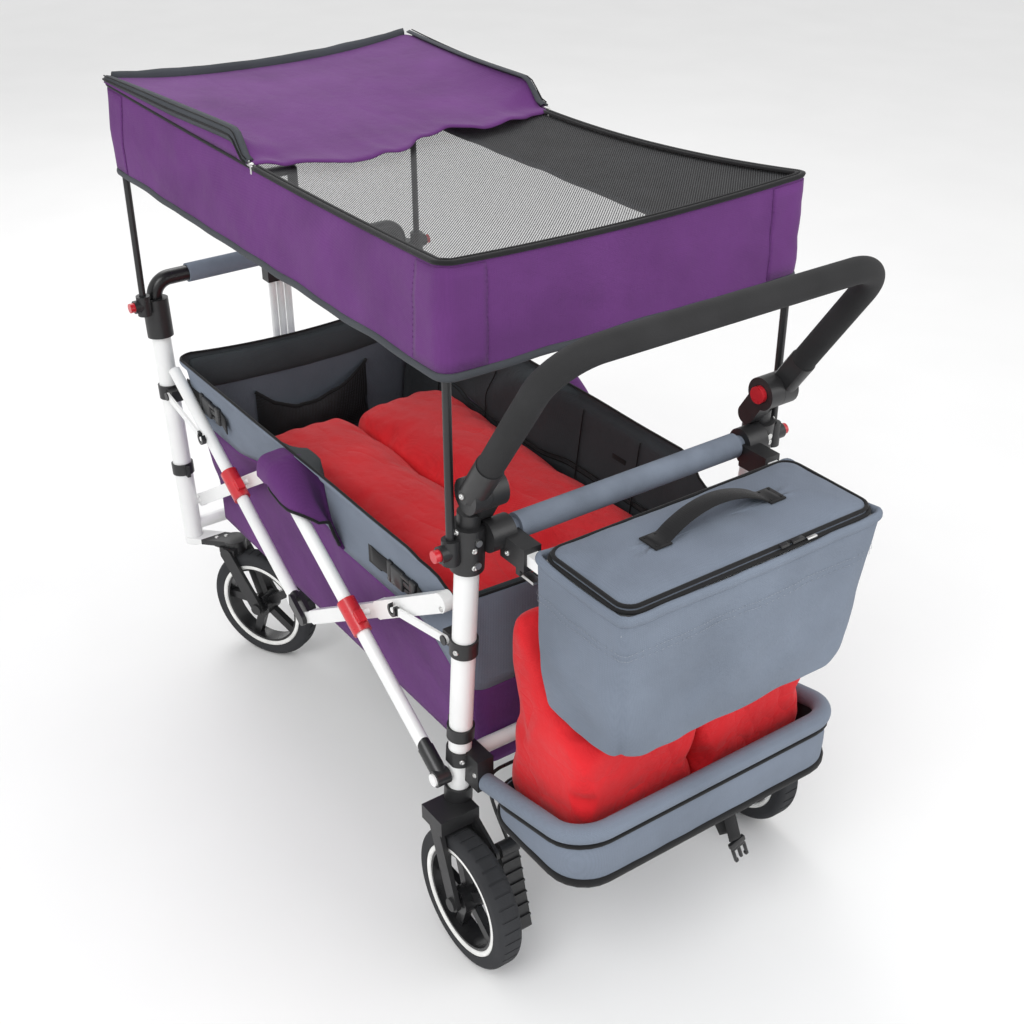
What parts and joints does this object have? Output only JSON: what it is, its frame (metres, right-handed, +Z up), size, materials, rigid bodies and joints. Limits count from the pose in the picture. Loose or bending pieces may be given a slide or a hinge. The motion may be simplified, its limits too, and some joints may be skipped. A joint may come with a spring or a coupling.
{
  "type": "stroller wagon",
  "caption": "Folding stroller wagon with fabric tub, canopy on poles, tilting push handle, pull handle, cooler bag, rear basket, scissor side frame and swivel casters.",
  "frame": {"origin": "on the ground under the middle of the whole wagon", "axes": "+X forward to the pull handle end, +Y left, +Z up"},
  "size_m": [1.2424, 0.59, 1.036],
  "materials": {
    "white_steel": "satin",
    "black_plastic": "fine grain",
    "red_plastic": "smooth",
    "grey_foam": "matte foam",
    "black_foam": "matte foam",
    "black_rubber": "matte",
    "grey_fabric": "woven",
    "red_fabric": "woven",
    "purple_fabric": "woven",
    "dark_fabric": "woven",
    "black_mesh": "open mesh",
    "steel": "zinc plated",
    "black_steel": "satin",
    "tyre": "moulded tread"
  },
  "bodies": {
    "rear_frame": {"rear_frame_tubes": "white_steel", "rear_fittings": "black_plastic", "rear_bar": "grey_foam", "handle_stubs": "black_plastic", "rear_forks": "black_plastic", "brake_cable": "black_rubber", "basket_tube": "grey_foam", "basket_fabric": "grey_fabric", "basket_cushion": "red_fabric", "tub_sides": "purple_fabric", "tub_ends": "dark_fabric", "tub_floor": "dark_fabric", "bed_cushion": "red_fabric", "frame_screws": "steel"},
    "rear_lower": {"rear_lower_bars": "white_steel", "rear_clips": "red_plastic"},
    "rear_upper": {"rear_upper_bars": "white_steel"},
    "front_lower": {"front_lower_bars": "white_steel"},
    "front_upper": {"front_upper_bars": "white_steel", "front_clips": "red_plastic"},
    "rear_strut": {"rear_struts": "white_steel"},
    "front_strut": {"front_struts": "white_steel"},
    "front_frame": {"front_frame_tubes": "white_steel", "front_castings": "black_plastic", "front_bar": "black_plastic", "front_bar_sleeve": "grey_foam", "pull_mount": "black_plastic"},
    "caster_left": {"caster_yoke_left": "black_plastic"},
    "caster_right": {"caster_yoke_right": "black_plastic"},
    "lock_left": {"swivel_lock_left": "red_plastic"},
    "lock_right": {"swivel_lock_right": "red_plastic"},
    "front_wheel_left": {"front_rim_left": "black_plastic", "front_tyre_left": "tyre"},
    "front_wheel_right": {"front_rim_right": "black_plastic", "front_tyre_right": "tyre"},
    "pull_stem": {"pull_stem": "white_steel", "pull_collar": "black_plastic"},
    "pull_grip": {"pull_grip": "black_plastic"},
    "canopy": {"rear_poles": "black_steel", "canopy_valance": "purple_fabric", "canopy_mesh": "black_mesh", "canopy_panel": "purple_fabric"},
    "front_poles": {"front_poles": "black_steel"},
    "push_handle": {"handle_tube": "black_foam", "handle_sleeves": "black_plastic"},
    "cooler": {"cooler_frame": "white_steel", "cooler_bag": "grey_fabric"},
    "cooler_lid": {"cooler_lid": "grey_fabric"},
    "cooler_levers": {"cooler_levers": "steel"},
    "rear_wheel_left": {"rear_rim_left": "black_plastic", "rear_tyre_left": "tyre"},
    "rear_wheel_right": {"rear_rim_right": "black_plastic", "rear_tyre_right": "tyre"},
    "brake": {"brake_pedals": "black_plastic"},
    "pole_button_rear_left": {"pole_button_rear_left": "red_plastic"},
    "pole_button_rear_right": {"pole_button_rear_right": "red_plastic"},
    "pole_button_front_left": {"pole_button_front_left": "red_plastic"},
    "pole_button_front_right": {"pole_button_front_right": "red_plastic"},
    "handle_button_left": {"handle_button_left": "red_plastic"},
    "handle_button_right": {"handle_button_right": "red_plastic"}
  },
  "joints": [
    {"name": "fold", "type": "hinge", "parent": "rear_frame", "child": "rear_lower", "pos_m": [-0.32625, 0, 0.288], "axis": [0, -1, 0], "range_deg": [0, 39.8], "deforming": ["tub_sides", "tub_ends", "tub_floor", "bed_cushion", "canopy_valance", "canopy_mesh", "canopy_panel"]},
    {"name": "front_lower_turn", "type": "hinge", "parent": "rear_lower", "child": "front_lower", "pos_m": [0.11475, 0, 0.566], "axis": [0, -1, 0], "range_deg": [-79.6, 0]},
    {"name": "front_frame_turn", "type": "hinge", "parent": "front_lower", "child": "front_frame", "pos_m": [0.55575, 0, 0.288], "axis": [0, -1, 0], "range_deg": [0, 39.8]},
    {"name": "rear_upper_turn", "type": "hinge", "parent": "rear_lower", "child": "rear_upper", "pos_m": [-0.10575, 0, 0.427], "axis": [0, -1, 0], "range_deg": [-79.6, 0]},
    {"name": "front_upper_turn", "type": "hinge", "parent": "front_lower", "child": "front_upper", "pos_m": [0.33525, 0, 0.427], "axis": [0, -1, 0], "range_deg": [0, 79.6]},
    {"name": "rear_strut_turn", "type": "hinge", "parent": "rear_frame", "child": "rear_strut", "pos_m": [-0.32125, 0, 0.507], "axis": [0, -1, 0], "range_deg": [-63.68, 0]},
    {"name": "front_strut_turn", "type": "hinge", "parent": "front_frame", "child": "front_strut", "pos_m": [0.55075, 0, 0.507], "axis": [0, -1, 0], "range_deg": [0, 63.68]},
    {"name": "caster_swivel_left", "type": "hinge", "parent": "front_frame", "child": "caster_left", "pos_m": [0.49475, 0.187, 0.2], "axis": [0, 0, 1], "continuous": true},
    {"name": "front_wheel_spin_left", "type": "hinge", "parent": "caster_left", "child": "front_wheel_left", "pos_m": [0.44307, 0.16067, 0.105], "axis": [-0.454, 0.891, 0], "continuous": true},
    {"name": "swivel_lock_left_slide", "type": "slide", "parent": "caster_left", "child": "lock_left", "axis": [0.891, 0.454, 0], "range_m": [0, 0.004]},
    {"name": "rear_wheel_spin_left", "type": "hinge", "parent": "rear_frame", "child": "rear_wheel_left", "pos_m": [-0.37925, 0.261, 0.105], "axis": [0, 1, 0], "continuous": true},
    {"name": "caster_swivel_right", "type": "hinge", "parent": "front_frame", "child": "caster_right", "pos_m": [0.49475, -0.187, 0.2], "axis": [0, 0, 1], "continuous": true},
    {"name": "front_wheel_spin_right", "type": "hinge", "parent": "caster_right", "child": "front_wheel_right", "pos_m": [0.44307, -0.21333, 0.105], "axis": [-0.454, 0.891, 0], "continuous": true},
    {"name": "swivel_lock_right_slide", "type": "slide", "parent": "caster_right", "child": "lock_right", "axis": [0.891, 0.454, 0], "range_m": [0, 0.004]},
    {"name": "rear_wheel_spin_right", "type": "hinge", "parent": "rear_frame", "child": "rear_wheel_right", "pos_m": [-0.37925, -0.261, 0.105], "axis": [0, 1, 0], "continuous": true},
    {"name": "brake_press", "type": "hinge", "parent": "rear_frame", "child": "brake", "pos_m": [-0.40025, 0, 0.186], "axis": [0, 1, 0], "range_deg": [0, 15]},
    {"name": "push_handle_tilt", "type": "hinge", "parent": "rear_frame", "child": "push_handle", "pos_m": [-0.38525, 0, 0.752], "axis": [0, 1, 0], "range_deg": [-56, 26]},
    {"name": "pull_handle_tilt", "type": "hinge", "parent": "front_frame", "child": "pull_stem", "pos_m": [0.58475, 0, 0.245], "axis": [0, 1, 0], "range_deg": [0, 90]},
    {"name": "pull_handle_extend", "type": "slide", "parent": "pull_stem", "child": "pull_grip", "axis": [0, 0, 1], "range_m": [0, 0.28]},
    {"name": "canopy_lift", "type": "slide", "parent": "rear_frame", "child": "canopy", "axis": [0, 0, 1], "range_m": [0, 0.05]},
    {"name": "front_poles_lift", "type": "slide", "parent": "front_frame", "child": "front_poles", "axis": [0, 0, 1], "range_m": [0, 0.05]},
    {"name": "cooler_pull", "type": "slide", "parent": "rear_frame", "child": "cooler", "axis": [-1, 0, 0], "range_m": [0, 0.045]},
    {"name": "cooler_lid_open", "type": "hinge", "parent": "cooler", "child": "cooler_lid", "pos_m": [-0.45425, 0, 0.6788], "axis": [0, 1, 0], "range_deg": [0, 90]},
    {"name": "cooler_lever_press", "type": "hinge", "parent": "rear_frame", "child": "cooler_levers", "pos_m": [-0.41725, 0, 0.644], "axis": [0, -1, 0], "range_deg": [0, 25], "stiffness_Nm_per_rad": 0.3},
    {"name": "pole_button_rear_left_press", "type": "slide", "parent": "rear_frame", "child": "pole_button_rear_left", "axis": [0, -1, 0], "range_m": [0, 0.004], "stiffness_N_per_m": 300},
    {"name": "pole_button_rear_right_press", "type": "slide", "parent": "rear_frame", "child": "pole_button_rear_right", "axis": [0, 1, 0], "range_m": [0, 0.004], "stiffness_N_per_m": 300},
    {"name": "pole_button_front_left_press", "type": "slide", "parent": "front_frame", "child": "pole_button_front_left", "axis": [0, -1, 0], "range_m": [0, 0.004], "stiffness_N_per_m": 300},
    {"name": "pole_button_front_right_press", "type": "slide", "parent": "front_frame", "child": "pole_button_front_right", "axis": [0, 1, 0], "range_m": [0, 0.004], "stiffness_N_per_m": 300},
    {"name": "handle_button_left_press", "type": "slide", "parent": "rear_frame", "child": "handle_button_left", "axis": [0, 1, 0], "range_m": [0, 0.004], "stiffness_N_per_m": 400},
    {"name": "handle_button_right_press", "type": "slide", "parent": "rear_frame", "child": "handle_button_right", "axis": [0, -1, 0], "range_m": [0, 0.004], "stiffness_N_per_m": 400}
  ],
  "couplings": [
    {"joint": "front_lower_turn", "follows": "fold", "ratio": -2},
    {"joint": "front_frame_turn", "follows": "fold", "ratio": 1},
    {"joint": "rear_upper_turn", "follows": "fold", "ratio": -2},
    {"joint": "front_upper_turn", "follows": "fold", "ratio": 2},
    {"joint": "rear_strut_turn", "follows": "fold", "ratio": -1.6},
    {"joint": "front_strut_turn", "follows": "fold", "ratio": 1.6},
    {"joint": "front_poles_lift", "follows": "canopy_lift", "ratio": 1}
  ]
}
